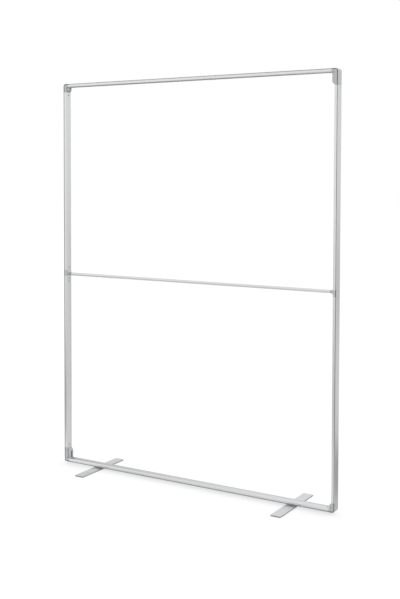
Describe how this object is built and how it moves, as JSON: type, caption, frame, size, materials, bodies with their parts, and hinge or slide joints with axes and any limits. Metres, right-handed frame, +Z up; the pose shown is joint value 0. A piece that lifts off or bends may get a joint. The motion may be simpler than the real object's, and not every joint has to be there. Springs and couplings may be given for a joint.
{
  "type": "silicone edge graphic display frame",
  "caption": "Free-standing portrait display frame of slim grooved aluminium extrusions with solid corner connectors, a round crossbar and flat feet that turn.",
  "frame": {"origin": "on the floor, midway between the feet, in the middle of the frame's depth", "axes": "+X to the right along the rails as seen from the front, +Y to the back, +Z up along the posts"},
  "size_m": [1.55, 0.358, 2.0086],
  "materials": {
    "anodised_aluminium": "satin clear anodised extrusion",
    "cast_connector": "silver-grey metallic coat on a die casting, satin",
    "zinc_plated_steel": "zinc plated",
    "foot_plate": "satin, brushed lengthwise",
    "black_nylon": "moulded"
  },
  "bodies": {
    "frame": {"top_rail": "anodised_aluminium", "bottom_rail": "anodised_aluminium", "left_post_upper": "anodised_aluminium", "left_post_lower": "anodised_aluminium", "right_post_upper": "anodised_aluminium", "right_post_lower": "anodised_aluminium", "crossbar": "anodised_aluminium", "corner_top_left": "cast_connector", "corner_top_right": "cast_connector", "corner_bottom_left": "cast_connector", "corner_bottom_right": "cast_connector", "mid_connector_left": "cast_connector", "mid_connector_right": "cast_connector", "foot_spacer_left": "black_nylon", "foot_spacer_right": "black_nylon", "foot_screw_left": "zinc_plated_steel", "foot_screw_right": "zinc_plated_steel", "foot_nut_plate_left": "zinc_plated_steel", "foot_nut_plate_right": "zinc_plated_steel", "crossbar_spigot_left": "zinc_plated_steel", "crossbar_spigot_right": "zinc_plated_steel", "crossbar_grub_screw_left": "zinc_plated_steel", "crossbar_grub_screw_right": "zinc_plated_steel", "corner_top_left_lock_screw": "zinc_plated_steel", "corner_top_right_lock_screw": "zinc_plated_steel", "corner_bottom_left_lock_screw": "zinc_plated_steel", "corner_bottom_right_lock_screw": "zinc_plated_steel", "top_rail_screw_a": "zinc_plated_steel", "top_rail_screw_b": "zinc_plated_steel", "bottom_rail_screw_a": "zinc_plated_steel", "bottom_rail_screw_b": "zinc_plated_steel", "left_post_upper_screw_a": "zinc_plated_steel", "left_post_upper_screw_b": "zinc_plated_steel", "left_post_lower_screw_a": "zinc_plated_steel", "left_post_lower_screw_b": "zinc_plated_steel", "left_post_lower_screw_c": "zinc_plated_steel", "right_post_upper_screw_a": "zinc_plated_steel", "right_post_upper_screw_b": "zinc_plated_steel", "right_post_upper_screw_c": "zinc_plated_steel", "right_post_lower_screw_a": "zinc_plated_steel", "right_post_lower_screw_b": "zinc_plated_steel"},
    "foot_left_swivel": {"foot_left": "foot_plate"},
    "foot_right_swivel": {"foot_right": "foot_plate"}
  },
  "joints": [
    {"name": "foot_left_turn", "type": "hinge", "parent": "frame", "child": "foot_left_swivel", "pos_m": [-0.556, 0, 0], "axis": [0, 0, 1], "range_deg": [-90, 90]},
    {"name": "foot_right_turn", "type": "hinge", "parent": "frame", "child": "foot_right_swivel", "pos_m": [0.556, 0, 0], "axis": [0, 0, 1], "range_deg": [-90, 90]}
  ]
}
